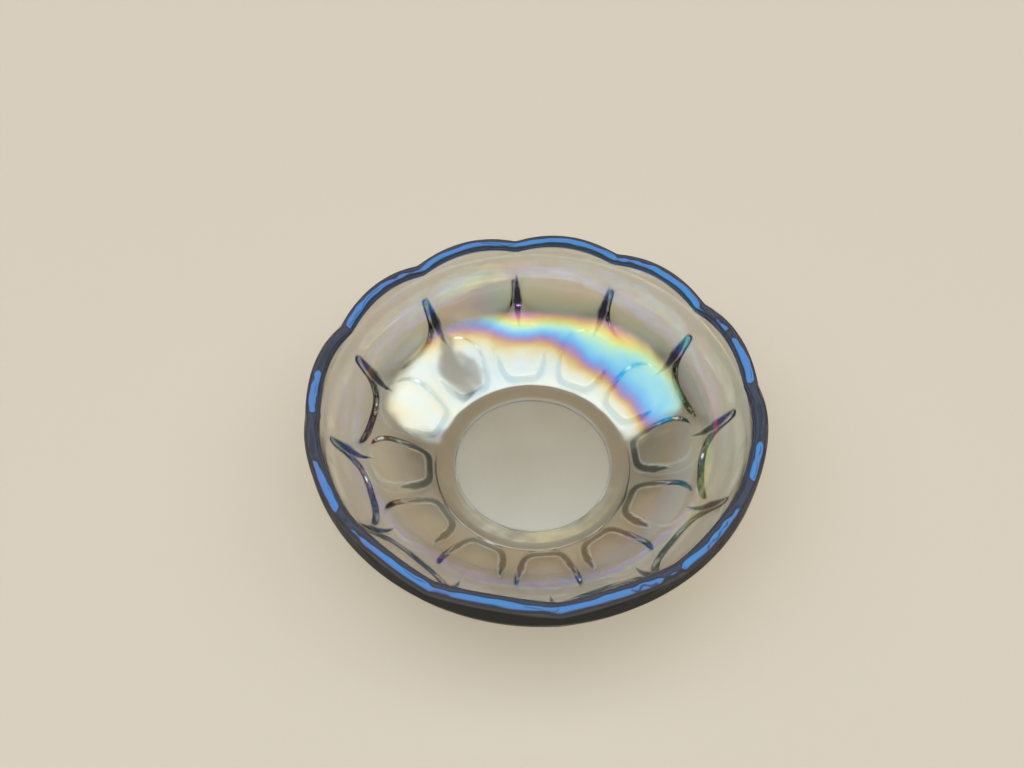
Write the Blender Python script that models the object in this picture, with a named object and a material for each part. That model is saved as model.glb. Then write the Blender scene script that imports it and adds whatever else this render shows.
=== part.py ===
"""Pressed glass bowl with twelve scallops and two rows of oval thumbprints.

The bowl is one piece of glass.  It stands on a foot ring on the plane z = 0, its axis is +Z, and
the crest of one scallop lies on +X.  Lengths are in metres and angles in radians.
"""

import math

import bmesh
import bpy

MM = 0.001

# Rim: a plain collar with a scalloped top.
SCALLOPS = 12
OUTER_RADIUS = 90.0 * MM  # outside of the collar, the widest place
RIM_THICKNESS = 5.9 * MM
COLLAR_HEIGHT = 40.4 * MM  # lower edge of the collar, above the table
COLLAR_STEP = 1.2 * MM  # how far the collar stands proud of the patterned wall
NOTCH_HEIGHT = 47.05 * MM  # where the rim starts to round over, between two scallops
NOTCH_ROUND = math.radians(0.7)
SCALLOP_RISE = 4.2 * MM
RIM_CROWN = 2.95 * MM  # height of the rounded rim above where the rounding starts
RIM_SQUARENESS = 2.0  # 2 is an ellipse, more is squarer

# Wall: each face is one smooth curve, given by its end points, end slopes and handle lengths.
FLOOR_RADIUS = 41.4 * MM
FLOOR_HEIGHT = 5.0 * MM
FLOOR_EDGE_ROUND = 1.8 * MM
FLOOR_EDGE_SLOPE = math.radians(17.0)
FLOOR_EDGE_HANDLE = 27.4 * MM
INNER_TOP_RADIUS = 83.9 * MM
INNER_TOP_HEIGHT = 46.6 * MM  # the line that the mould leaves round the inside
INNER_TOP_SLOPE = math.radians(77.9)
INNER_TOP_HANDLE = 25.3 * MM
OUTER_FOOT_SLOPE = math.radians(14.0)
OUTER_FOOT_HANDLE = 32.0 * MM
OUTER_TOP_SLOPE = math.radians(80.0)
OUTER_TOP_HANDLE = 18.0 * MM

# Foot ring and the shallow recess that it surrounds.
FOOT_TOP = (43.0 * MM, 1.2 * MM)  # radius and height where the foot meets the wall
FOOT_OUTER_RADIUS = 41.2 * MM
FOOT_INNER_RADIUS = 34.6 * MM
RECESS_RADIUS = 33.6 * MM
RECESS_DEPTH = 1.6 * MM
FOOT_ROUND = 0.3 * MM  # how far the foot's outer edge bulges between its two ends

# Thumbprints, pressed into the outside.  Places and half lengths run down the wall from the collar.
# Each is an oval with a bevelled edge that rounds into an even bottom.
UPPER_PRINT = dict(
    first=0.0, half_angle=math.radians(15.2), place=14.0 * MM,
    half_lengths=(9.5 * MM, 20.0 * MM),  # towards the collar, towards the foot
    powers=(3.4, 2.4),  # how square each end is
    bevel_angle=math.radians(32.0), bevel_width=4.0 * MM, round_width=4.0 * MM,
)
LOWER_PRINT = dict(
    first=math.pi / SCALLOPS, half_angle=math.radians(13.3), place=47.0 * MM,
    half_lengths=(16.0 * MM, 17.0 * MM),
    powers=(2.2, 3.0),
    bevel_angle=math.radians(28.0), bevel_width=3.4 * MM, round_width=3.4 * MM,
)

# Mesh fineness.  Steps crowd together at the sides of the prints, which are every half pitch.
STEPS_PER_SCALLOP = 10
STEP_CROWDING = 0.45
OUTER_WALL_ROWS = 26
INNER_WALL_ROWS = 10
BAND_ROWS = 2
RIM_ROWS = 6
FLOOR_ROWS = 2
CURVE_SAMPLES = 400

PITCH = math.tau / SCALLOPS


def remove_everything():
    """Empties the scene that the script starts in."""
    for obj in list(bpy.data.objects):
        bpy.data.objects.remove(obj, do_unlink=True)


def wall_curve(start, start_slope, start_handle, end, end_slope, end_handle):
    """A cubic curve in the radius and height plane, as a function of 0 to 1."""
    first = (
        start[0] + start_handle * math.cos(start_slope),
        start[1] + start_handle * math.sin(start_slope),
    )
    second = (
        end[0] - end_handle * math.cos(end_slope),
        end[1] - end_handle * math.sin(end_slope),
    )

    def point(t):
        weights = ((1 - t) ** 3, 3 * t * (1 - t) ** 2, 3 * t * t * (1 - t), t**3)
        corners = (start, first, second, end)
        return tuple(sum(w * c[axis] for w, c in zip(weights, corners)) for axis in (0, 1))

    return point


def evenly_spaced(curve, rows):
    """Points at equal lengths along a curve: radius, height, unit normal to its right, and length."""
    points = [curve(i / CURVE_SAMPLES) for i in range(CURVE_SAMPLES + 1)]
    lengths = [0.0]
    for a, b in zip(points, points[1:]):
        lengths.append(lengths[-1] + math.dist(a, b))
    result = []
    for row in range(rows + 1):
        wanted = lengths[-1] * row / rows
        i = min(sum(length <= wanted for length in lengths) - 1, CURVE_SAMPLES - 1)
        share = (wanted - lengths[i]) / (lengths[i + 1] - lengths[i])
        a, b = points[i], points[i + 1]
        step = math.dist(a, b)
        place = (a[0] + share * (b[0] - a[0]), a[1] + share * (b[1] - a[1]))
        normal = ((b[1] - a[1]) / step, (a[0] - b[0]) / step)
        result.append((place, normal, wanted))
    return result


def angle_from_nearest(azimuth, first):
    """The angle to the nearest of the twelve directions that start at first."""
    return (azimuth - first + PITCH / 2) % PITCH - PITCH / 2


def scallop_height(azimuth):
    """How far the rim rises above its notches here."""
    half = PITCH / 2
    from_notch = math.hypot(half - abs(angle_from_nearest(azimuth, 0.0)), NOTCH_ROUND)
    from_crest = max(0.0, 1 - from_notch / half)
    return SCALLOP_RISE * (1 - from_crest**2)


def inside_outline(azimuth, below_collar, radius, first, half_angle, place, half_lengths, power, end):
    """How far a place lies inside the outline of its nearest thumbprint, below zero outside it."""
    half = half_lengths[end]
    across = abs(angle_from_nearest(azimuth, first)) / half_angle
    along = abs(below_collar - place) / half
    level = (across**power + along**power) ** (1 / power)
    if level == 0:
        return half_angle * radius
    slope = math.hypot(across ** (power - 1) / (half_angle * radius), along ** (power - 1) / half)
    return (1 - level) * level ** (power - 1) / slope


def print_depth(azimuth, below_collar, radius, first, half_angle, place, half_lengths, powers,
                bevel_angle, bevel_width, round_width):
    """Depth of one row of thumbprints, zero outside them."""
    end = 0 if below_collar < place else 1
    inside = inside_outline(
        azimuth, below_collar, radius, first, half_angle, place, half_lengths, powers[end], end
    )
    turn = round_width / math.sin(bevel_angle)
    left = round_width - min(max(inside - bevel_width, 0.0), round_width)
    rounded = math.sqrt(turn**2 - left**2) - turn * math.cos(bevel_angle)
    return min(max(inside, 0.0), bevel_width) * math.tan(bevel_angle) + rounded


def pressed_depth(azimuth, below_collar, radius):
    """How deep the pattern is pressed at one place on the outside of the wall."""
    return max(print_depth(azimuth, below_collar, radius, **row) for row in (UPPER_PRINT, LOWER_PRINT))


def underside_section():
    """The recess and the foot ring, from the axis outwards."""
    foot_side = ((FOOT_OUTER_RADIUS + FOOT_TOP[0]) / 2 + FOOT_ROUND, FOOT_ROUND)
    return [
        (RECESS_RADIUS / 2, RECESS_DEPTH),
        (RECESS_RADIUS, RECESS_DEPTH),
        (FOOT_INNER_RADIUS, 0.0),
        (FOOT_OUTER_RADIUS, 0.0),
        foot_side,
    ]


def outer_wall_section(azimuth, wall):
    """The patterned outside of the wall, from the foot up to the collar."""
    total = wall[-1][2]
    section = []
    for (radius, height), normal, length in wall:
        depth = pressed_depth(azimuth, total - length, radius)
        section.append((radius - depth * normal[0], height - depth * normal[1]))
    return section


def collar_section(rim_start):
    """The plain outside of the collar, up to where the rim rounds over."""
    low = COLLAR_HEIGHT + COLLAR_STEP
    rows = range(BAND_ROWS)
    return [(OUTER_RADIUS, low + (rim_start - low) * row / BAND_ROWS) for row in rows]


def rim_section(rim_start):
    """The rounded rim, from its outer side over to its inner side."""
    half = RIM_THICKNESS / 2
    middle = OUTER_RADIUS - half
    power = 2 / RIM_SQUARENESS
    section = []
    for row in range(RIM_ROWS + 1):
        turn = math.pi * row / RIM_ROWS
        across = math.copysign(abs(math.cos(turn)) ** power, math.cos(turn))
        section.append((middle + half * across, rim_start + RIM_CROWN * abs(math.sin(turn)) ** power))
    return section


def inner_band_section(rim_start):
    """The steep inside between the rim and the mould line."""
    top_radius = OUTER_RADIUS - RIM_THICKNESS
    section = []
    for row in range(1, BAND_ROWS):
        share = row / BAND_ROWS
        radius = top_radius + (INNER_TOP_RADIUS - top_radius) * share
        section.append((radius, rim_start + (INNER_TOP_HEIGHT - rim_start) * share))
    return section


def floor_section():
    """The floor inside: its rounded edge, and then its flat middle towards the axis."""
    edge_rise = FLOOR_EDGE_ROUND * math.tan(FLOOR_EDGE_SLOPE)
    flat = FLOOR_RADIUS - FLOOR_EDGE_ROUND
    section = [
        (FLOOR_RADIUS + FLOOR_EDGE_ROUND, FLOOR_HEIGHT + edge_rise),
        (FLOOR_RADIUS, FLOOR_HEIGHT + edge_rise / 4),  # a parabola from the slope to the flat
        (flat, FLOOR_HEIGHT),
    ]
    section += [(flat * (1 - row / FLOOR_ROWS), FLOOR_HEIGHT) for row in range(1, FLOOR_ROWS)]
    return section


def glass_section(azimuth, outer_wall, inner_wall):
    """Half of the bowl's cross section, from under its middle round to the middle of the floor."""
    rim_start = NOTCH_HEIGHT + scallop_height(azimuth)
    section = underside_section()
    section += outer_wall_section(azimuth, outer_wall)
    section += collar_section(rim_start)
    section += rim_section(rim_start)
    section += inner_band_section(rim_start)
    section += [place for place, _, _ in reversed(inner_wall[1:])]
    section += floor_section()
    return section


def crowded_azimuth(step):
    """The azimuth of one cross section."""
    even = PITCH * step / STEPS_PER_SCALLOP
    half = PITCH / 2
    return even - STEP_CROWDING * half / math.tau * math.sin(even * math.tau / half)


def build_glass_mesh():
    """Joins the cross sections at every azimuth into one closed surface."""
    outer_curve = wall_curve(
        FOOT_TOP, OUTER_FOOT_SLOPE, OUTER_FOOT_HANDLE,
        (OUTER_RADIUS - COLLAR_STEP, COLLAR_HEIGHT), OUTER_TOP_SLOPE, OUTER_TOP_HANDLE,
    )
    inner_curve = wall_curve(
        (FLOOR_RADIUS, FLOOR_HEIGHT), FLOOR_EDGE_SLOPE, FLOOR_EDGE_HANDLE,
        (INNER_TOP_RADIUS, INNER_TOP_HEIGHT), INNER_TOP_SLOPE, INNER_TOP_HANDLE,
    )
    outer_wall = evenly_spaced(outer_curve, OUTER_WALL_ROWS)
    inner_wall = evenly_spaced(inner_curve, INNER_WALL_ROWS)

    bm = bmesh.new()
    columns = []
    for step in range(SCALLOPS * STEPS_PER_SCALLOP):
        azimuth = crowded_azimuth(step)
        section = glass_section(azimuth, outer_wall, inner_wall)
        x, y = math.cos(azimuth), math.sin(azimuth)
        columns.append([bm.verts.new((radius * x, radius * y, height)) for radius, height in section])
    under_middle = bm.verts.new((0.0, 0.0, RECESS_DEPTH))
    floor_middle = bm.verts.new((0.0, 0.0, FLOOR_HEIGHT))

    for here, after in zip(columns, columns[1:] + columns[:1]):
        bm.faces.new((under_middle, after[0], here[0]))
        for row in range(len(here) - 1):
            bm.faces.new((here[row], after[row], after[row + 1], here[row + 1]))
        bm.faces.new((here[-1], after[-1], floor_middle))

    bmesh.ops.recalc_face_normals(bm, faces=bm.faces)
    mesh = bpy.data.meshes.new("glass_bowl")
    bm.to_mesh(mesh)
    bm.free()
    return mesh


def smoke_glass():
    """Pale smoke glass with a thin iridescent lustre."""
    material = bpy.data.materials.new("smoke_glass")
    material.use_nodes = True
    shader = material.node_tree.nodes["Principled BSDF"]
    shader.inputs["Base Color"].default_value = (0.62, 0.66, 0.66, 1.0)
    shader.inputs["Roughness"].default_value = 0.04
    shader.inputs["Metallic"].default_value = 0.0
    shader.inputs["IOR"].default_value = 1.52
    shader.inputs["Transmission Weight"].default_value = 1.0
    shader.inputs["Thin Film Thickness"].default_value = 420.0
    shader.inputs["Thin Film IOR"].default_value = 2.1
    return material


def build_glass_bowl():
    """The whole bowl, as one object."""
    mesh = build_glass_mesh()
    mesh.materials.append(smoke_glass())
    mesh.shade_smooth()
    mesh.set_sharp_from_angle(angle=math.radians(35.0))
    bowl = bpy.data.objects.new("glass_bowl", mesh)
    bpy.context.scene.collection.objects.link(bowl)
    return bowl


remove_everything()
build_glass_bowl()
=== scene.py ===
"""Looks of the pressed glass bowl: fine glass surface, iridescent lustre, camera and studio."""

import math

import bpy
import numpy as np
from mathutils import Matrix, Vector


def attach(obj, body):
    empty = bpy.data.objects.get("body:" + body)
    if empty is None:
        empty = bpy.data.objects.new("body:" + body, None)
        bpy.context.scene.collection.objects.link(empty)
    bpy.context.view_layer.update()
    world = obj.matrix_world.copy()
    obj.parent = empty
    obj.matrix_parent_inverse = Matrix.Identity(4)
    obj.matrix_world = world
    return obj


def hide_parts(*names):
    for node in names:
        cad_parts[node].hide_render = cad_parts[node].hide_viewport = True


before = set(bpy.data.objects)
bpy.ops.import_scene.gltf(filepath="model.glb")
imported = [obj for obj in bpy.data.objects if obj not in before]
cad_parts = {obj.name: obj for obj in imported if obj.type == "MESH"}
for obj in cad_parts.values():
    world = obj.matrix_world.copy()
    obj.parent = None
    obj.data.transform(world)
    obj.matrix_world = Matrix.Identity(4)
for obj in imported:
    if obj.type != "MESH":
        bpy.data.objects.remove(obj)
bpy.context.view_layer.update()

MM = 0.001

# Dimensions of the glass, the same as in the CAD model.
SCALLOPS = 12
PITCH = math.tau / SCALLOPS
OUTER_RADIUS = 90.0 * MM
RIM_THICKNESS = 5.9 * MM
COLLAR_HEIGHT = 40.4 * MM
COLLAR_STEP = 1.2 * MM
NOTCH_HEIGHT = 47.05 * MM
SCALLOP_RISE = 4.2 * MM
NOTCH_ROUND = math.radians(0.7)
RIM_CROWN = 2.95 * MM
RIM_SQUARENESS = 2.0
FLOOR_RADIUS = 41.4 * MM
FLOOR_HEIGHT = 5.0 * MM
INNER_TOP = (83.9 * MM, 46.6 * MM)
INNER_SLOPES = (math.radians(17.0), math.radians(77.9))
INNER_HANDLES = (27.4 * MM, 25.3 * MM)
FLOOR_EDGE_ROUND = 1.8 * MM
FOOT_TOP = (43.0 * MM, 1.2 * MM)  # radius and height where the foot meets the wall
OUTER_SLOPES = (math.radians(14.0), math.radians(80.0))
OUTER_HANDLES = (32.0 * MM, 18.0 * MM)
FOOT_OUTER_RADIUS = 41.2 * MM
FOOT_INNER_RADIUS = 34.6 * MM
RECESS_RADIUS = 33.6 * MM
RECESS_DEPTH = 1.6 * MM

# Rounded corners that only this finer mesh has.
RECESS_FILLET = 0.5 * MM
FOOT_INNER_ROUND = 0.8 * MM
FOOT_OUTER_ROUND = 1.4 * MM

# Thumbprints: each is an oval with a bevelled edge and an even bottom.  Places and half lengths run
# down the wall from the collar; halves and powers come for the upper end, then for the lower end.
UPPER_PRINT = dict(
    first=0.0, half_angle=math.radians(15.2), place=14.0 * MM, halves=(9.5 * MM, 20.0 * MM),
    powers=(4.0, 2.6), bevel_angle=math.radians(38.0), bevel_width=3.2 * MM, round_width=3.0 * MM,
)
LOWER_PRINT = dict(
    first=PITCH / 2, half_angle=math.radians(13.3), place=47.0 * MM, halves=(16.0 * MM, 17.0 * MM),
    powers=(2.2, 3.6), bevel_angle=math.radians(35.0), bevel_width=2.6 * MM, round_width=2.2 * MM,
)
RIDGE_SOFTNESS = 0.35 * MM  # how much the fire polish rounds the edges of the prints

# The steep sides of the prints trap light in the real glass and look dark; painted shade stands in for
# that: where, down the wall, and how wide.
UPPER_SHADE_PLACE = 22.0 * MM
UPPER_SHADE_LENGTH = 14.0 * MM
UPPER_SHADE_WIDTH = 2.6 * MM
LOWER_SHADE_START = 2.0 * MM
LOWER_SHADE_RUN = 9.0 * MM
LOWER_SHADE_WIDTH = 2.2 * MM
UPPER_SHADE_TAPER = 0.6  # how bluntly the dark places taper: less is blunter
LOWER_SHADE_TAPER = 0.7
SHADE_SOFTNESS = 0.7 * MM
RIM_SHADE_START = 30.0 * MM  # height on the outside where the shade of the collar begins

# Small unevenness that pressing leaves: the inside swells a little behind each print.
INNER_SWELL = 0.20 * MM
SWELL_LENGTH = 13.0 * MM
SWELL_FADE = 12.0 * MM  # from each end of the inner wall
MOULD_LINE_DEPTH = 0.22 * MM
MOULD_LINE_WIDTH = 0.33 * MM  # of each of its two sides
FLOOR_DISH = 0.25 * MM
DISH_EDGE = 0.95  # as a share of the floor's radius

# Finish.  The fineness of each noise is per metre.
FLOOR_CLOUDS = 90.0
FLOOR_ROUGHNESS = (0.20, 0.08)  # least, and what the clouds add
INSIDE_ROUGHNESS = 0.08
WAVES = 85.0
WAVE_DEPTH = 3.2 * MM  # at full strength
RIM_WAVINESS = 0.6
WALL_WAVINESS = 0.06
GRAIN = 1500.0
GRAIN_DEPTH = 0.012 * MM
GRAIN_STRENGTH = (0.35, -0.18)  # on the inside, and what the floor adds to that
GRAIN_RADIUS = 35.5 * MM  # the floor's own finish ends here
GRAIN_EDGE = 2.0 * MM

# Lustre thickness in nanometres, by height in millimetres, at every 30 degrees from the right.
LUSTRE = {
    5: (66, 64, 62, 62, 62, 62, 64, 70, 84, 92, 92, 80),
    7: (82, 84, 72, 62, 62, 62, 66, 76, 94, 102, 102, 90),
    9: (116, 138, 108, 68, 62, 62, 70, 86, 106, 112, 112, 110),
    11: (140, 160, 144, 88, 62, 64, 78, 98, 122, 130, 132, 134),
    13: (158, 170, 164, 124, 66, 66, 88, 116, 138, 148, 152, 154),
    16: (174, 178, 182, 182, 90, 70, 106, 138, 152, 160, 168, 172),
    19: (196, 196, 216, 230, 120, 80, 126, 150, 160, 166, 182, 195),
    24: (240, 240, 256, 262, 160, 104, 150, 160, 166, 172, 200, 232),
    30: (282, 290, 286, 270, 160, 130, 160, 168, 170, 178, 210, 250),
    44: (286, 286, 286, 262, 168, 162, 166, 168, 168, 172, 200, 250),
    49: (158, 158, 157, 156, 156, 156, 156, 156, 156, 156, 157, 158),
}
FLOOR_LUSTRE = 62
DARKER_SIDE = math.radians(70.0)  # the glass is tinted darker, letting least light through, on this side
DARKER_LEVELS = (5.5, 9, 20, 30)  # heights in millimetres where it comes in, is full, thins and ends
BROAD_SWIRLS = (38.0, 60.0)  # uneven lustre: fineness per metre, and range in nanometres
SMALL_SWIRLS = (160.0, 16.0)
CALM = 0.8  # how much of the swirls the floor and the rim lack
FILM_IOR = (1.56, 2.12)  # outside, inside
RIM_INSIDE = 0.75  # how much the top of the rim has the inside's lustre

# Glass: its colours where it is clear and the painted shade where it looks dark, and how strongly
# those show.
GLASS_IOR = 1.52
CLEAR_TINT = (0.95, 0.945, 0.91, 1.0)
DARKER_TINT = (0.38, 0.37, 0.35, 1.0)
NAVY_SHADE = (0.005, 0.003, 0.035, 1.0)
BROWN_SHADE = (0.035, 0.024, 0.005, 1.0)
RIM_SHADE = (0.006, 0.007, 0.010, 1.0)
# A dark diffuse colour: smoke everywhere, painted shade on the outside of the collar.
SMOKE_AND_SHADE = (0.01, 0.01, 0.01, 1.0)
SHADOW_TINT = (0.72, 0.66, 0.55, 1.0)
SMOKE_TINT = (0.53, 0.51, 0.34, 1.0)
SMOKE_DENSITY = 40.0
DARK_STRENGTH, BROWN_STRENGTH, RIM_STRENGTH = 0.97, 0.93, 0.95
COLLAR_STRENGTH = (0.25, 0.72)  # seen straight on, and what a full slant adds
# How much dark diffuse shows: everywhere as smoke, and what painted shade on the collar's outside
# adds.
SMOKE_AND_SHADE_STRENGTH = (0.06, 0.74)
SLANT = (0.15, 0.55)  # where the slant starts to count, and where it counts in full

# Mesh fineness.  Columns crowd together where the prints' sides run, at each half pitch.
COLUMNS = SCALLOPS * 40
COLUMN_CROWDING = 0.45
OUTER_ROWS = 90
RIM_ROWS = 20
INNER_ROWS = 44
CURVE_SAMPLES = 4001

# What each place of the glass is marked as, from 0 to 1, for the material.
MARKS = ("inside", "dark", "brown", "collar", "rim")

# Camera: it looks down at the bowl from the front.
VIEW_HEADING = math.radians(10.04)
VIEW_PITCH = math.radians(52.9)
VIEW_ROLL = math.radians(0.215)
VIEW_PLACE = (-9.1 * MM, -207.5 * MM, 333.8 * MM)
LENS_MM = 31.47
SENSOR_MM = 36.0

# Light comes from the room by direction.  Places on the ceiling are given across and away from the
# camera, for a ceiling one metre up; each soft edge runs from dark to bright.
PANEL_LIGHT = 3.1
PANEL_COLOUR = (0.82, 0.94, 1.0, 1.0)
PANEL_ACROSS = ((-2.2, -1.0), (1.9, 1.0))
PANEL_AWAY = ((-1.4, -0.6), (0.60, 0.42))
GAP_DIRECTION = (0.683, -0.730)
GAP_OFFSET = -0.325
GAP_EDGE = (0.03, 0.11)  # from the gap's middle line
GAP_END = (0.33, 0.27)
GAP_LIGHT = 0.2  # as a share of the panel's
BAND_LIGHT = 0.45
BAND_COLOUR = (1.0, 0.94, 0.86, 1.0)
BAND_UP = ((0.12, 0.30), (0.72, 0.50))  # by the height of the direction
BAND_AWAY = (0.2, 0.6)
ROOM_LIGHT = 0.05
ROOM_COLOUR = (1.0, 0.93, 0.85, 1.0)
BACKDROP_COLOUR = (0.62, 0.56, 0.48, 1.0)
LOWEST_RISE = 0.02  # keeps level directions from dividing by nothing

# One weak, small lamp low in front of the bowl, and the table.
SPOT_SIZE = 0.03
SPOT_PLACE = (0.15, -0.95, 0.62)
SPOT_TARGET = (0.0, 0.0, 0.03)
SPOT_POWER = 0.05
SPOT_COLOUR = (1.0, 0.97, 0.92)
TABLE_COLOUR = (0.49, 0.389, 0.30, 1.0)
TABLE_ROUGHNESS = 0.7
TABLE_REACH = 3.0
TABLE_DROP = 0.1 * MM  # a hair below the foot, so that the two faces don't meet


def bezier(start, end, slopes, handles, t):
    """Points on a cubic curve in the radius and height plane."""
    first = (start[0] + handles[0] * math.cos(slopes[0]),
             start[1] + handles[0] * math.sin(slopes[0]))
    second = (end[0] - handles[1] * math.cos(slopes[1]),
              end[1] - handles[1] * math.sin(slopes[1]))
    weights = ((1 - t) ** 3, 3 * t * (1 - t) ** 2, 3 * t * t * (1 - t), t**3)
    return sum(w[:, None] * np.array(c) for w, c in zip(weights, (start, first, second, end)))


def even_curve(start, end, slopes, handles, rows):
    """Evenly spaced points, outward normals and lengths along a wall curve."""
    fine = bezier(start, end, slopes, handles, np.linspace(0, 1, CURVE_SAMPLES))
    lengths = np.concatenate([[0], np.cumsum(np.hypot(*np.diff(fine, axis=0).T))])
    wanted = np.linspace(0, lengths[-1], rows + 1)
    points = np.column_stack([np.interp(wanted, lengths, fine[:, k]) for k in (0, 1)])
    tangent = np.column_stack([np.gradient(fine[:, k], lengths) for k in (0, 1)])
    tangent = np.column_stack([np.interp(wanted, lengths, tangent[:, k]) for k in (0, 1)])
    tangent /= np.linalg.norm(tangent, axis=1)[:, None]
    normals = np.column_stack([tangent[:, 1], -tangent[:, 0]])
    return points, normals, wanted


def nearest(azimuth, first):
    """Angle from the nearest of twelve places, the first of which is given."""
    return (azimuth - first + PITCH / 2) % PITCH - PITCH / 2


def inside_print(azimuth, below, radius, row):
    """How far a place lies inside the outline of its nearest print, less than zero outside it."""
    along = below - row["place"]
    power = np.where(along < 0, *row["powers"])
    half = np.where(along < 0, *row["halves"])
    across = np.abs(nearest(azimuth, row["first"])) / row["half_angle"]
    along = np.abs(along) / half
    level = np.maximum(across**power + along**power, 1e-9) ** (1 / power)
    steep = level ** (1 - power) * np.hypot(
        across ** (power - 1) / (row["half_angle"] * radius), along ** (power - 1) / half
    )
    return (1 - level) / np.maximum(steep, 1.0)


def print_depth(inside, row):
    """Depth of a print: inside its outline, a bevel that rounds into an even bottom."""
    inside = 0.5 * (inside + np.sqrt(inside**2 + RIDGE_SOFTNESS**2))
    turn = row["round_width"] / math.sin(row["bevel_angle"])
    left = row["round_width"] - np.clip(inside - row["bevel_width"], 0, row["round_width"])
    rounded = np.sqrt(turn**2 - left**2) - turn * math.cos(row["bevel_angle"])
    return np.minimum(inside, row["bevel_width"]) * math.tan(row["bevel_angle"]) + rounded


def pressed(azimuth, below, radius):
    """Depth of the pattern, and the painted shade on the steep sides of the upper and the lower
    prints.
    """
    upper, lower = (inside_print(azimuth, below, radius, row) for row in (UPPER_PRINT, LOWER_PRINT))
    depth = np.maximum(print_depth(upper, UPPER_PRINT), print_depth(lower, LOWER_PRINT))
    side = np.clip(1 - abs(below - UPPER_SHADE_PLACE) / UPPER_SHADE_LENGTH, 0, 1)
    width = UPPER_SHADE_WIDTH * side**UPPER_SHADE_TAPER
    pillar = np.abs(nearest(azimuth, PITCH / 2)) * radius
    dark = np.clip((width - pillar) / SHADE_SOFTNESS, 0, 1) * (side > 0)
    end = np.clip((below - LOWER_PRINT["place"] + LOWER_SHADE_START) / LOWER_SHADE_RUN, 0, 1)
    width = LOWER_SHADE_WIDTH * end**LOWER_SHADE_TAPER
    from_edge = np.abs(lower - LOWER_SHADE_WIDTH)
    brown = np.clip((width - from_edge) / SHADE_SOFTNESS, 0, 1) * (end > 0)
    return depth, dark, brown


def inner_swell(azimuth, below):
    """How far the inside stands up behind each print."""
    total = 0
    for row in (UPPER_PRINT, LOWER_PRINT):
        across = np.cos(nearest(azimuth, row["first"]) / PITCH * math.pi) ** 2
        total = total + across * np.exp(-(((below - row["place"]) / SWELL_LENGTH) ** 2))
    return INNER_SWELL * total


def scallop_height(azimuth):
    """Height of the scalloped rim above its notches."""
    from_notch = np.hypot(PITCH / 2 - np.abs(nearest(azimuth, 0.0)), NOTCH_ROUND)
    share = np.clip(1 - from_notch / (PITCH / 2), 0, 1)
    return SCALLOP_RISE * (1 - share**2)


def column_azimuths():
    """Azimuths of the mesh columns, closer together at each half pitch."""
    even = np.arange(COLUMNS) * math.tau / COLUMNS
    half = PITCH / 2
    return even - COLUMN_CROWDING * half / math.tau * np.sin(even * math.tau / half)


def floor_edge_height(past):
    """Height of the inside where the floor curves up into the wall, by the distance past its start."""
    return FLOOR_HEIGHT + math.tan(INNER_SLOPES[0]) * past**2 / (4 * FLOOR_EDGE_ROUND)


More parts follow.
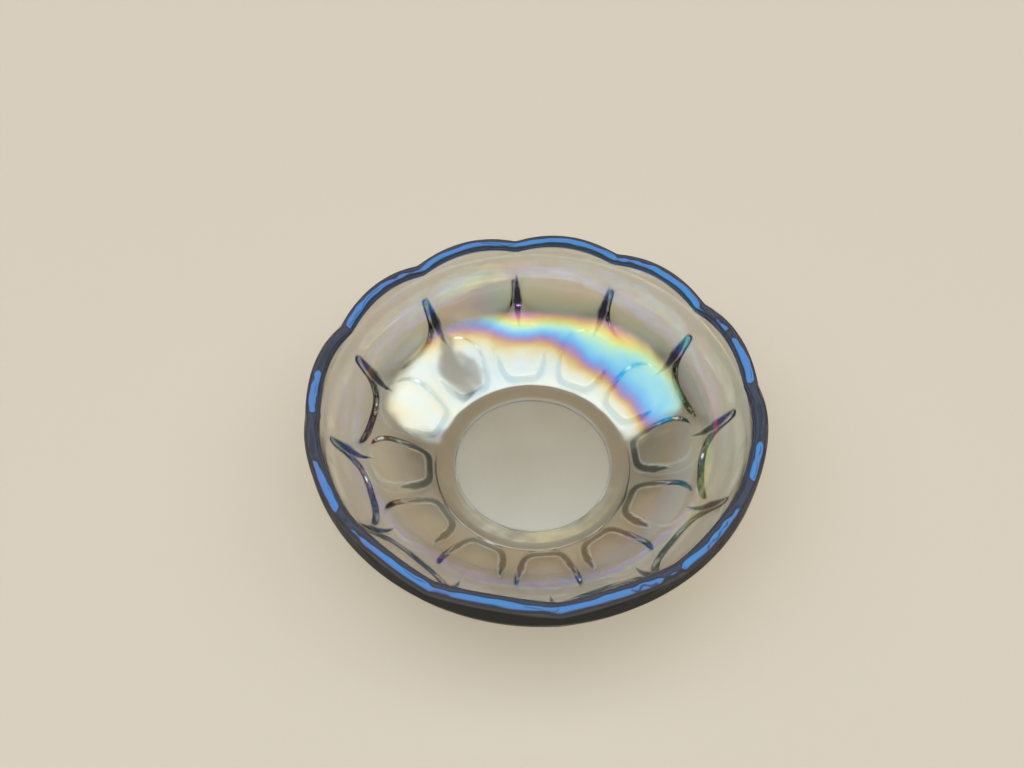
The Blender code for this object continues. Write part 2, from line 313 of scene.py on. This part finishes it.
def glass_grid():
    """Azimuths, and rings of radius, height and marks, from under the middle to the floor's middle."""
    azimuth = column_azimuths()
    rise = NOTCH_HEIGHT + scallop_height(azimuth)
    ones = np.ones(COLUMNS)
    rows = []

    def ring(radius, height, **marks):
        values = (radius, height, *(marks.get(name, 0.0) for name in MARKS))
        rows.append([value * ones for value in values])

    def corner(radius, height, size, degrees, **marks):
        for turn in np.radians(degrees):
            ring(radius + size * math.cos(turn), height + size * math.sin(turn), **marks)

    # The underside: the recess, its corner, and the foot ring.
    for share in (0.25, 0.5, 0.75, 0.97):
        ring(RECESS_RADIUS * share, RECESS_DEPTH)
    corner(RECESS_RADIUS - RECESS_FILLET, RECESS_DEPTH - RECESS_FILLET, RECESS_FILLET, (90, 60, 30, 0))
    corner(RECESS_RADIUS + FOOT_INNER_ROUND, FOOT_INNER_ROUND, FOOT_INNER_ROUND, (180, 210, 240, 270))
    for share in (0.3, 0.7):
        ring(FOOT_INNER_RADIUS + (FOOT_OUTER_RADIUS - FOOT_INNER_RADIUS) * share, 0.0)
    corner(FOOT_OUTER_RADIUS, FOOT_OUTER_ROUND, FOOT_OUTER_ROUND, (-90, -70, -50, -30))

    # The patterned outside.
    wall_top = (OUTER_RADIUS - COLLAR_STEP, COLLAR_HEIGHT)
    points, normals, lengths = even_curve(FOOT_TOP, wall_top, OUTER_SLOPES, OUTER_HANDLES, OUTER_ROWS)
    for point, normal, length in zip(points, normals, lengths):
        depth, dark, brown = pressed(azimuth, lengths[-1] - length, point[0])
        collar = np.clip((point[1] - RIM_SHADE_START) / (COLLAR_HEIGHT - RIM_SHADE_START), 0, 1)
        ring(point[0] - depth * normal[0], point[1] - depth * normal[1],
             dark=dark, brown=brown, collar=collar)

    # The collar and the rounded rim.
    collar_start = COLLAR_HEIGHT + 2 * COLLAR_STEP
    corner(OUTER_RADIUS - COLLAR_STEP, collar_start, COLLAR_STEP, (-60, -30, 0), collar=1.0)
    for share in (0.2, 0.4, 0.6, 0.8):
        ring(OUTER_RADIUS, collar_start + (rise - collar_start) * share, collar=1.0, rim=share**4)
    half = RIM_THICKNESS / 2
    power = 2 / RIM_SQUARENESS
    for turn in np.linspace(0, math.pi, RIM_ROWS + 1):
        across = math.copysign(abs(math.cos(turn)) ** power, math.cos(turn))
        ring(OUTER_RADIUS - half + half * across, rise + RIM_CROWN * abs(math.sin(turn)) ** power,
             inside=min(RIM_INSIDE, 2 * turn / math.pi), collar=1.0, rim=1.0)

    # The inside, past the line that the mould leaves, down to the floor.
    rim_radius = OUTER_RADIUS - RIM_THICKNESS
    line_radius, line_height = INNER_TOP
    line_top = line_height + 2 * MOULD_LINE_WIDTH
    for share in (0.25, 0.5, 0.75):
        ring(rim_radius + (line_radius - rim_radius) * share, rise + (line_top - rise) * share,
             inside=1.0)
    ring(line_radius, line_top, inside=1.0)
    ring(line_radius + MOULD_LINE_DEPTH, line_height + MOULD_LINE_WIDTH, inside=1.0)
    points, normals, lengths = even_curve(
        (FLOOR_RADIUS, FLOOR_HEIGHT), INNER_TOP, INNER_SLOPES, INNER_HANDLES, INNER_ROWS
    )
    for point, normal, length in zip(points[::-1], normals[::-1], lengths[::-1]):
        below = lengths[-1] - length
        swell = inner_swell(azimuth, below) * min(1.0, length / SWELL_FADE, below / SWELL_FADE)
        height = point[1] - swell * normal[1]
        past = point[0] - (FLOOR_RADIUS - FLOOR_EDGE_ROUND)
        if past < 2 * FLOOR_EDGE_ROUND:
            height = floor_edge_height(past)
        ring(point[0] - swell * normal[0], height, inside=1.0)
    for share in (0.8, 0.6, 0.4, 0.2, 0.0):
        past = FLOOR_EDGE_ROUND * share
        ring(FLOOR_RADIUS - FLOOR_EDGE_ROUND + past, floor_edge_height(past), inside=1.0)
    for share in (0.94, 0.91, 0.88, 0.84, 0.8, 0.7, 0.6, 0.5, 0.4, 0.3, 0.2, 0.1):
        dish = FLOOR_DISH * (1 - (share / DISH_EDGE) ** 2)
        ring(FLOOR_RADIUS * share, FLOOR_HEIGHT - dish, inside=1.0)
    return azimuth, rows


def around(azimuth, values):
    """A smooth closed curve through evenly spaced values, the first of them at the camera's right."""
    place = ((azimuth - VIEW_HEADING) % math.tau) / math.tau * len(values)
    low = np.floor(place).astype(int)
    share = place - low
    share = share * share * (3 - 2 * share)
    values = np.array(values)
    return values[low % len(values)] * (1 - share) + values[(low + 1) % len(values)] * share


def lustre_thickness(azimuth, height):
    """Thickness of the lustre in nanometres: thin on the floor, mostly thicker towards the rim."""
    rings = [around(azimuth, values) for values in LUSTRE.values()]
    heights = [level * MM for level in LUSTRE]
    total = rings[0]
    for low, high, lower, upper in zip(heights, heights[1:], rings, rings[1:]):
        share = np.clip((height - low) / (high - low), 0, 1)
        total = total + (upper - lower) * share
    return total


def glass_mesh():
    """The whole surface of the glass as one closed mesh, with its marks as attributes."""
    azimuth, rows = glass_grid()
    radius, height, *marks = np.array(rows).transpose(1, 0, 2)
    points = np.stack([radius * np.cos(azimuth), radius * np.sin(azimuth), height], axis=-1)
    under, floor = points.shape[0] * COLUMNS, points.shape[0] * COLUMNS + 1
    verts = points.reshape(-1, 3).tolist()
    verts += [(0, 0, RECESS_DEPTH), (0, 0, FLOOR_HEIGHT - FLOOR_DISH)]
    here = np.arange(COLUMNS)
    after = (here + 1) % COLUMNS
    faces = []
    for low in range(0, under - COLUMNS, COLUMNS):
        high = low + COLUMNS
        faces += np.column_stack([low + here, low + after, high + after, high + here]).tolist()
    last = under - COLUMNS
    faces += [(under, int(b), int(a)) for a, b in zip(here, after)]
    faces += [(last + int(a), last + int(b), floor) for a, b in zip(here, after)]
    mesh = bpy.data.meshes.new("bowl_glass")
    mesh.from_pydata(verts, [], faces)

    layers = dict(zip(MARKS, marks))
    inside = layers["inside"]
    layers["floor"] = inside * np.clip((GRAIN_RADIUS - radius) / GRAIN_EDGE, 0, 1)
    film = lustre_thickness(np.broadcast_to(azimuth, height.shape), height)
    layers["lustre"] = film + (FLOOR_LUSTRE - film) * layers["floor"]
    darker_levels = [level * MM for level in DARKER_LEVELS]
    layers["darker"] = (inside * np.clip(np.cos(azimuth - DARKER_SIDE), 0, 1)
                       * np.interp(height, darker_levels, (0.0, 1.0, 1.0, 0.0)))
    middles = {"lustre": (FLOOR_LUSTRE, FLOOR_LUSTRE), "inside": (0.0, 1.0), "floor": (0.0, 1.0)}
    for name, values in layers.items():
        values = np.concatenate([values.ravel(), middles.get(name, (0.0, 0.0))])
        layer = mesh.attributes.new(name, "FLOAT", "POINT")
        layer.data.foreach_set("value", values.astype(np.float32))
    mesh.shade_smooth()
    return mesh


def attribute(tree, name):
    node = tree.nodes.new("ShaderNodeAttribute")
    node.attribute_name = name
    return node.outputs["Fac"]


def math_node(tree, operation, *values):
    """One step of arithmetic on numbers and on other nodes' outputs."""
    node = tree.nodes.new("ShaderNodeMath")
    node.operation = operation
    for slot, value in zip(node.inputs, values):
        if isinstance(value, (int, float)):
            slot.default_value = value
        else:
            tree.links.new(value, slot)
    return node.outputs[0]


def smooth_step(tree, value, low, high):
    """Rises softly from 0 at low to 1 at high; low may be the greater."""
    node = tree.nodes.new("ShaderNodeMapRange")
    node.interpolation_type = "SMOOTHSTEP"
    node.inputs["From Min"].default_value = low
    node.inputs["From Max"].default_value = high
    tree.links.new(value, node.inputs["Value"])
    return node.outputs["Result"]


def noise(tree, scale, detail=2.0):
    place = tree.nodes.new("ShaderNodeTexCoord")
    texture = tree.nodes.new("ShaderNodeTexNoise")
    texture.inputs["Scale"].default_value = scale
    texture.inputs["Detail"].default_value = detail
    tree.links.new(place.outputs["Object"], texture.inputs["Vector"])
    return texture.outputs["Fac"]


def bump(tree, depth, strength, height, below=None):
    """A bumpy surface, on top of another one where that is given."""
    node = tree.nodes.new("ShaderNodeBump")
    node.inputs["Distance"].default_value = depth
    tree.links.new(strength, node.inputs["Strength"])
    tree.links.new(height, node.inputs["Height"])
    if below is not None:
        tree.links.new(below, node.inputs["Normal"])
    return node.outputs["Normal"]


def blend(tree, factor, under, over):
    """One colour over another; each is a fixed colour or another blend."""
    node = tree.nodes.new("ShaderNodeMix")
    node.data_type = "RGBA"
    tree.links.new(factor, node.inputs["Factor"])
    for name, colour in (("A", under), ("B", over)):
        slot = next(slot for slot in node.inputs if slot.name == name and slot.type == "RGBA")
        if isinstance(colour, tuple):
            slot.default_value = colour
        else:
            tree.links.new(colour, slot)
    return next(slot for slot in node.outputs if slot.type == "RGBA")


def mix_shaders(tree, factor, first, second):
    node = tree.nodes.new("ShaderNodeMixShader")
    tree.links.new(factor, node.inputs["Fac"])
    tree.links.new(first, node.inputs[1])
    tree.links.new(second, node.inputs[2])
    return node.outputs[0]


def coloured(tree, kind, colour):
    """A shader of some kind in an even colour."""
    node = tree.nodes.new(kind)
    node.inputs["Color"].default_value = colour
    return node


def lustre_film(tree, shader):
    """The iridescent film: its thickness, a little uneven, and how strongly it bends light."""
    swirls = [
        math_node(tree, "MULTIPLY_ADD", noise(tree, fineness), reach, -reach / 2)
        for fineness, reach in (BROAD_SWIRLS, SMALL_SWIRLS)
    ]
    calm = math_node(tree, "MAXIMUM", attribute(tree, "floor"), attribute(tree, "rim"))
    uneven = math_node(tree, "MULTIPLY", math_node(tree, "ADD", *swirls),
                       math_node(tree, "MULTIPLY_ADD", calm, -CALM, 1.0))
    film = math_node(tree, "ADD", attribute(tree, "lustre"), uneven)
    tree.links.new(film, shader.inputs["Thin Film Thickness"])
    bend = math_node(tree, "MULTIPLY_ADD", attribute(tree, "inside"), FILM_IOR[1] - FILM_IOR[0],
                     FILM_IOR[0])
    tree.links.new(bend, shader.inputs["Thin Film IOR"])


def glass_finish(tree, shader):
    """Gloss, waviness and fine grain: the floor is the dullest and the rim the waviest."""
    inside, floor = attribute(tree, "inside"), attribute(tree, "floor")
    least, added = FLOOR_ROUGHNESS
    rough = math_node(tree, "MULTIPLY_ADD", noise(tree, FLOOR_CLOUDS), added, least)
    rough = math_node(tree, "MULTIPLY", rough, floor)
    rough = math_node(tree, "MAXIMUM", rough,
                      math_node(tree, "MULTIPLY", inside, INSIDE_ROUGHNESS))
    tree.links.new(rough, shader.inputs["Roughness"])
    wall = math_node(tree, "SUBTRACT", inside, floor)
    wavy = math_node(tree, "MULTIPLY_ADD", attribute(tree, "rim"), RIM_WAVINESS,
                     math_node(tree, "MULTIPLY", wall, WALL_WAVINESS))
    waves = bump(tree, WAVE_DEPTH, wavy, noise(tree, WAVES, 1.0))
    on_inside, on_floor = GRAIN_STRENGTH
    grained = math_node(tree, "MULTIPLY_ADD", floor, on_floor,
                        math_node(tree, "MULTIPLY", inside, on_inside))
    grain = bump(tree, GRAIN_DEPTH, grained, noise(tree, GRAIN, 1.0), waves)
    tree.links.new(grain, shader.inputs["Normal"])


def glass_material():
    """Smoke glass with a lustre film, with painted shade where the real glass traps light."""
    material = bpy.data.materials.new("smoke_lustre_glass")
    material.use_nodes = True
    tree = material.node_tree
    shader = tree.nodes["Principled BSDF"]
    shader.inputs["IOR"].default_value = GLASS_IOR
    lustre_film(tree, shader)
    glass_finish(tree, shader)

    # How much painted shade each place gets.  The collar and the rim count only from outside the
    # glass, the collar more at a slant.
    dark, brown = attribute(tree, "dark"), attribute(tree, "brown")
    sides = tree.nodes.new("ShaderNodeNewGeometry")
    front = math_node(tree, "MULTIPLY_ADD", sides.outputs["Backfacing"], -1.0, 1.0)
    facing = tree.nodes.new("ShaderNodeLayerWeight")
    facing.inputs["Blend"].default_value = 0.5
    slant = smooth_step(tree, facing.outputs["Facing"], *SLANT)
    collar = math_node(tree, "MULTIPLY", attribute(tree, "collar"), front)
    outer = math_node(tree, "MULTIPLY", collar, slant)
    rim = math_node(tree, "MULTIPLY", attribute(tree, "rim"), front)
    straight, slanted = COLLAR_STRENGTH
    shades = (
        math_node(tree, "MULTIPLY", dark, DARK_STRENGTH),
        math_node(tree, "MULTIPLY", brown, BROWN_STRENGTH),
        math_node(tree, "MULTIPLY", rim, RIM_STRENGTH),
        math_node(tree, "MULTIPLY", collar,
                  math_node(tree, "MULTIPLY_ADD", slant, slanted, straight)),
    )
    shade = shades[0]
    for other in shades[1:]:
        shade = math_node(tree, "MAXIMUM", shade, other)
    clear = blend(tree, attribute(tree, "darker"), CLEAR_TINT, DARKER_TINT)
    shaded = blend(tree, brown, blend(tree, dark, RIM_SHADE, NAVY_SHADE), BROWN_SHADE)
    tree.links.new(blend(tree, shade, clear, shaded), shader.inputs["Base Color"])
    tree.links.new(math_node(tree, "SUBTRACT", 1.0, shade), shader.inputs["Transmission Weight"])

    # A dark diffuse layer: a little everywhere as smoke, and painted shade on the outside of the
    # collar seen at a slant.  Clear glass for shadows, and smoke inside the glass.
    outer = math_node(tree, "MULTIPLY", outer,
                      math_node(tree, "SUBTRACT", 1.0, attribute(tree, "inside")))
    smoke_and_shade = coloured(tree, "ShaderNodeBsdfDiffuse", SMOKE_AND_SHADE)
    least, added = SMOKE_AND_SHADE_STRENGTH
    smoked_and_shaded = mix_shaders(tree, math_node(tree, "MULTIPLY_ADD", outer, added, least),
                        shader.outputs[0], smoke_and_shade.outputs[0])
    path = tree.nodes.new("ShaderNodeLightPath")
    through = coloured(tree, "ShaderNodeBsdfTransparent", SHADOW_TINT)
    surface = mix_shaders(tree, path.outputs["Is Shadow Ray"], smoked_and_shaded, through.outputs[0])
    smoke = coloured(tree, "ShaderNodeVolumeAbsorption", SMOKE_TINT)
    smoke.inputs["Density"].default_value = SMOKE_DENSITY
    output = tree.nodes["Material Output"]
    tree.links.new(surface, output.inputs["Surface"])
    tree.links.new(smoke.outputs[0], output.inputs["Volume"])
    return material


def table_material():
    material = bpy.data.materials.new("table_board")
    material.use_nodes = True
    shader = material.node_tree.nodes["Principled BSDF"]
    shader.inputs["Base Color"].default_value = TABLE_COLOUR
    shader.inputs["Roughness"].default_value = TABLE_ROUGHNESS
    return material


def add_camera():
    data = bpy.data.cameras.new("camera")
    data.lens = LENS_MM
    data.sensor_width = SENSOR_MM
    camera = bpy.data.objects.new("camera", data)
    bpy.context.scene.collection.objects.link(camera)
    turn = Matrix.Rotation(VIEW_HEADING, 4, "Z")
    tilt = Matrix.Rotation(math.pi / 2 - VIEW_PITCH, 4, "X")
    roll = Matrix.Rotation(VIEW_ROLL, 4, "Z")
    camera.matrix_world = turn @ Matrix.Translation(VIEW_PLACE) @ tilt @ roll
    bpy.context.scene.camera = camera


def add_spot():
    data = bpy.data.lights.new("spot", "AREA")
    data.size = SPOT_SIZE
    data.energy = SPOT_POWER
    data.color = SPOT_COLOUR
    light = bpy.data.objects.new("spot", data)
    bpy.context.scene.collection.objects.link(light)
    turn = Matrix.Rotation(VIEW_HEADING, 4, "Z")
    aim = (Vector(SPOT_TARGET) - Vector(SPOT_PLACE)).to_track_quat("-Z", "Y").to_matrix().to_4x4()
    light.matrix_world = turn @ Matrix.Translation(SPOT_PLACE) @ aim


def product(tree, values):
    total = values[0]
    for value in values[1:]:
        total = math_node(tree, "MULTIPLY", total, value)
    return total


def panel_mask(tree, across, away):
    """Where the ceiling panel is, with the gap in it."""
    edges = [smooth_step(tree, across, *edge) for edge in PANEL_ACROSS]
    edges += [smooth_step(tree, away, *edge) for edge in PANEL_AWAY]
    line = math_node(tree, "ADD", math_node(tree, "MULTIPLY", across, GAP_DIRECTION[1]),
                     math_node(tree, "MULTIPLY", away, -GAP_DIRECTION[0]))
    line = math_node(tree, "ABSOLUTE", math_node(tree, "SUBTRACT", line, GAP_OFFSET))
    outside_gap = math_node(tree, "MAXIMUM", smooth_step(tree, line, *GAP_EDGE),
                            smooth_step(tree, across, *GAP_END))
    gap = math_node(tree, "MULTIPLY_ADD", outside_gap, 1 - GAP_LIGHT, GAP_LIGHT)
    return product(tree, edges + [gap])


def add_world():
    """A soft ceiling panel with a gap in it, a paler band of wall beyond the bowl, and a dim room."""
    world = bpy.data.worlds.new("room")
    world.use_nodes = True
    tree = world.node_tree
    place = tree.nodes.new("ShaderNodeTexCoord")
    turn = tree.nodes.new("ShaderNodeVectorRotate")
    turn.rotation_type = "Z_AXIS"
    turn.inputs["Angle"].default_value = -VIEW_HEADING
    tree.links.new(place.outputs["Generated"], turn.inputs["Vector"])
    split = tree.nodes.new("ShaderNodeSeparateXYZ")
    tree.links.new(turn.outputs["Vector"], split.inputs["Vector"])
    x, y, z = split.outputs
    up = math_node(tree, "MAXIMUM", z, LOWEST_RISE)
    panel = panel_mask(tree, math_node(tree, "DIVIDE", x, up), math_node(tree, "DIVIDE", y, up))
    band = product(tree, [smooth_step(tree, z, *edge) for edge in BAND_UP]
                   + [smooth_step(tree, y, *BAND_AWAY)])

    total = coloured(tree, "ShaderNodeBackground", ROOM_COLOUR)
    total.inputs["Strength"].default_value = ROOM_LIGHT
    for strength, colour, mask in (
        (BAND_LIGHT, BAND_COLOUR, band), (PANEL_LIGHT, PANEL_COLOUR, panel)
    ):
        light = coloured(tree, "ShaderNodeBackground", colour)
        tree.links.new(math_node(tree, "MULTIPLY", mask, strength), light.inputs["Strength"])
        both = tree.nodes.new("ShaderNodeAddShader")
        tree.links.new(total.outputs[0], both.inputs[0])
        tree.links.new(light.outputs[0], both.inputs[1])
        total = both
    path = tree.nodes.new("ShaderNodeLightPath")
    backdrop = coloured(tree, "ShaderNodeBackground", BACKDROP_COLOUR)
    room = mix_shaders(tree, path.outputs["Is Camera Ray"], total.outputs[0], backdrop.outputs[0])
    tree.links.new(room, tree.nodes["World Output"].inputs["Surface"])
    bpy.context.scene.world = world


def add_table():
    mesh = bpy.data.meshes.new("table")
    around_middle = ((-1, -1), (1, -1), (1, 1), (-1, 1))
    corners = [(x * TABLE_REACH, y * TABLE_REACH, -TABLE_DROP) for x, y in around_middle]
    mesh.from_pydata(corners, [], [(0, 1, 2, 3)])
    mesh.materials.append(table_material())
    table = bpy.data.objects.new("table", mesh)
    bpy.context.scene.collection.objects.link(table)


add_camera()
add_world()
add_spot()
add_table()
glass = bpy.data.objects.new("pressed_glass", glass_mesh())
glass.data.materials.append(glass_material())
bpy.context.scene.collection.objects.link(glass)
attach(glass, "root")
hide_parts("glass_bowl")
bpy.context.scene.view_settings.view_transform = "Standard"
